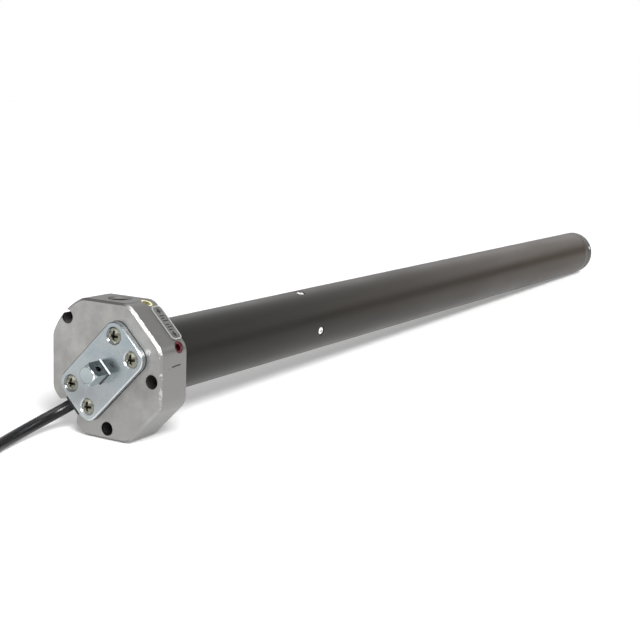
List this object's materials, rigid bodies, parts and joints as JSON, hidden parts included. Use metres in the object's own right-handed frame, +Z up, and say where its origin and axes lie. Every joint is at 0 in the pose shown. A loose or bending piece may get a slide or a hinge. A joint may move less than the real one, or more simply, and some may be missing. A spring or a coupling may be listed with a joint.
{
  "type": "tubular roller blind motor",
  "caption": "Tubular roller blind motor: slim steel tube with an octagonal head, square fixing pin, limit adjusters, crank port and power lead.",
  "frame": {"origin": "point on the tube's axis in the head's front face, where the mounting plate with the square pin seats", "axes": "+X along the motor tube from the head to the output end, +Z up towards the crank port, +Y to the left of someone who looks along +X"},
  "size_m": [0.9974, 0.1565, 0.0865],
  "materials": {
    "head_casting": "satin",
    "black_oxide": "satin",
    "plate_zinc": "satin",
    "pin_steel": "satin",
    "screw_zinc": "satin",
    "label_foil": "gloss",
    "bronze": "satin",
    "turned_steel": "satin",
    "adjuster_yellow": "gloss",
    "adjuster_red": "gloss",
    "white_plastic": "matte",
    "switch_plastic": "matte",
    "capacitor_plastic": "gloss",
    "lamination_steel": "matte",
    "copper_wire": "satin",
    "cast_aluminium": "satin",
    "brake_lining_mix": "matte",
    "tube_paint": "satin",
    "cap_plastic": "satin",
    "rivet_steel": "satin",
    "cable_rubber": "matte",
    "grommet_rubber": "matte",
    "core_insulation": "gloss",
    "ferrule_tin": "satin"
  },
  "bodies": {
    "head": {"head_housing": "head_casting", "head_rear_plate": "head_casting", "head_screws": "black_oxide", "mounting_plate": "plate_zinc", "square_pin": "pin_steel", "plate_screws": "screw_zinc", "direction_label": "label_foil", "crank_bush": "bronze", "limit_carrier": "switch_plastic", "limit_switches": "switch_plastic", "capacitor": "capacitor_plastic", "rear_shield": "cast_aluminium", "shaft_bushes": "bronze", "front_shield": "cast_aluminium", "stator_core": "lamination_steel", "stator_windings": "copper_wire", "brake_magnet": "turned_steel", "brake_coil": "copper_wire", "brake_lining": "brake_lining_mix", "brake_plate": "cast_aluminium", "gear_ring": "turned_steel", "output_housing": "cast_aluminium", "output_bushes": "bronze", "end_cap": "cap_plastic", "end_cap_screws": "rivet_steel", "motor_tube": "tube_paint", "tube_rivets": "rivet_steel", "gearbox_set_screws": "black_oxide", "cable_grommet": "grommet_rubber", "cable_free": "cable_rubber", "cable_coil": "cable_rubber", "cable_tail": "cable_rubber", "cable_cores": "core_insulation", "core_ferrules": "ferrule_tin"},
    "crank": {"crank_input": "turned_steel"},
    "override": {"override_shaft": "turned_steel"},
    "adjuster_up": {"limit_adjuster_up": "adjuster_yellow"},
    "adjuster_down": {"limit_adjuster_down": "adjuster_red"},
    "spindle_up": {"limit_spindle_up": "turned_steel"},
    "spindle_down": {"limit_spindle_down": "turned_steel"},
    "nut_up": {"limit_nut_up": "white_plastic"},
    "nut_down": {"limit_nut_down": "white_plastic"},
    "rotor": {"rotor_shaft": "turned_steel", "rotor_core": "lamination_steel", "brake_spring": "turned_steel"},
    "brake": {"brake_disc": "turned_steel"},
    "stage_1": {"carrier_1": "turned_steel"},
    "stage_2": {"carrier_2": "turned_steel"},
    "output": {"carrier_3": "turned_steel", "output_shaft": "turned_steel"},
    "planet_1_1": {"planet_1_1": "turned_steel"},
    "planet_1_2": {"planet_1_2": "turned_steel"},
    "planet_1_3": {"planet_1_3": "turned_steel"},
    "planet_2_1": {"planet_2_1": "turned_steel"},
    "planet_2_2": {"planet_2_2": "turned_steel"},
    "planet_2_3": {"planet_2_3": "turned_steel"},
    "planet_3_1": {"planet_3_1": "turned_steel"},
    "planet_3_2": {"planet_3_2": "turned_steel"},
    "planet_3_3": {"planet_3_3": "turned_steel"}
  },
  "joints": [
    {"name": "override_turn", "type": "hinge", "parent": "head", "child": "override", "pos_m": [0, 0, 0], "axis": [1, 0, 0], "continuous": true},
    {"name": "crank_turn", "type": "hinge", "parent": "head", "child": "crank", "pos_m": [0.013, 0, 0], "axis": [0, 0, 1], "continuous": true},
    {"name": "limit_nut_up_slide", "type": "slide", "parent": "head", "child": "nut_up", "axis": [1, 0, 0], "range_m": [-0.005, 0.005]},
    {"name": "limit_spindle_up_turn", "type": "hinge", "parent": "head", "child": "spindle_up", "pos_m": [0.0173, -0.00612, 0.01478], "axis": [1, 0, 0], "continuous": true},
    {"name": "limit_screw_up", "type": "hinge", "parent": "head", "child": "adjuster_up", "pos_m": [0.0173, -0.00612, 0.01478], "axis": [0, -0.3827, 0.9239], "continuous": true},
    {"name": "limit_nut_down_slide", "type": "slide", "parent": "head", "child": "nut_down", "axis": [1, 0, 0], "range_m": [-0.005, 0.005]},
    {"name": "limit_spindle_down_turn", "type": "hinge", "parent": "head", "child": "spindle_down", "pos_m": [0.0173, -0.01478, 0.00612], "axis": [1, 0, 0], "continuous": true},
    {"name": "limit_screw_down", "type": "hinge", "parent": "head", "child": "adjuster_down", "pos_m": [0.0173, -0.01478, 0.00612], "axis": [0, -0.9239, 0.3827], "continuous": true},
    {"name": "rotor_turn", "type": "hinge", "parent": "head", "child": "rotor", "pos_m": [0, 0, 0], "axis": [1, 0, 0], "continuous": true},
    {"name": "brake_release", "type": "slide", "parent": "rotor", "child": "brake", "axis": [-1, 0, 0], "range_m": [0, 0.0005]},
    {"name": "stage_1_turn", "type": "hinge", "parent": "head", "child": "stage_1", "pos_m": [0, 0, 0], "axis": [1, 0, 0], "continuous": true},
    {"name": "planet_1_1_turn", "type": "hinge", "parent": "stage_1", "child": "planet_1_1", "pos_m": [0, 0.01228, 0], "axis": [1, 0, 0], "continuous": true},
    {"name": "planet_1_2_turn", "type": "hinge", "parent": "stage_1", "child": "planet_1_2", "pos_m": [0, -0.00614, 0.01064], "axis": [1, 0, 0], "continuous": true},
    {"name": "planet_1_3_turn", "type": "hinge", "parent": "stage_1", "child": "planet_1_3", "pos_m": [0, -0.00614, -0.01064], "axis": [1, 0, 0], "continuous": true},
    {"name": "stage_2_turn", "type": "hinge", "parent": "head", "child": "stage_2", "pos_m": [0, 0, 0], "axis": [1, 0, 0], "continuous": true},
    {"name": "planet_2_1_turn", "type": "hinge", "parent": "stage_2", "child": "planet_2_1", "pos_m": [0, 0.01228, 0], "axis": [1, 0, 0], "continuous": true},
    {"name": "planet_2_2_turn", "type": "hinge", "parent": "stage_2", "child": "planet_2_2", "pos_m": [0, -0.00614, 0.01064], "axis": [1, 0, 0], "continuous": true},
    {"name": "planet_2_3_turn", "type": "hinge", "parent": "stage_2", "child": "planet_2_3", "pos_m": [0, -0.00614, -0.01064], "axis": [1, 0, 0], "continuous": true},
    {"name": "output_turn", "type": "hinge", "parent": "head", "child": "output", "pos_m": [0, 0, 0], "axis": [1, 0, 0], "continuous": true},
    {"name": "planet_3_1_turn", "type": "hinge", "parent": "output", "child": "planet_3_1", "pos_m": [0, 0.01228, 0], "axis": [1, 0, 0], "continuous": true},
    {"name": "planet_3_2_turn", "type": "hinge", "parent": "output", "child": "planet_3_2", "pos_m": [0, -0.00614, 0.01064], "axis": [1, 0, 0], "continuous": true},
    {"name": "planet_3_3_turn", "type": "hinge", "parent": "output", "child": "planet_3_3", "pos_m": [0, -0.00614, -0.01064], "axis": [1, 0, 0], "continuous": true}
  ],
  "couplings": [
    {"joint": "crank_turn", "follows": "override_turn", "ratio": -1},
    {"joint": "limit_spindle_up_turn", "follows": "limit_nut_up_slide", "rad_per_m": 6283.2},
    {"joint": "limit_screw_up", "follows": "limit_nut_up_slide", "rad_per_m": -6283.2},
    {"joint": "limit_spindle_down_turn", "follows": "limit_nut_down_slide", "rad_per_m": 6283.2},
    {"joint": "limit_screw_down", "follows": "limit_nut_down_slide", "rad_per_m": -6283.2},
    {"joint": "stage_1_turn", "follows": "rotor_turn", "ratio": 0.25},
    {"joint": "planet_1_1_turn", "follows": "rotor_turn", "ratio": -0.75},
    {"joint": "planet_1_2_turn", "follows": "rotor_turn", "ratio": -0.75},
    {"joint": "planet_1_3_turn", "follows": "rotor_turn", "ratio": -0.75},
    {"joint": "stage_2_turn", "follows": "rotor_turn", "ratio": 0.0625},
    {"joint": "planet_2_1_turn", "follows": "rotor_turn", "ratio": -0.1875},
    {"joint": "planet_2_2_turn", "follows": "rotor_turn", "ratio": -0.1875},
    {"joint": "planet_2_3_turn", "follows": "rotor_turn", "ratio": -0.1875},
    {"joint": "output_turn", "follows": "rotor_turn", "ratio": 0.015625},
    {"joint": "planet_3_1_turn", "follows": "rotor_turn", "ratio": -0.046875},
    {"joint": "planet_3_2_turn", "follows": "rotor_turn", "ratio": -0.046875},
    {"joint": "planet_3_3_turn", "follows": "rotor_turn", "ratio": -0.046875}
  ]
}
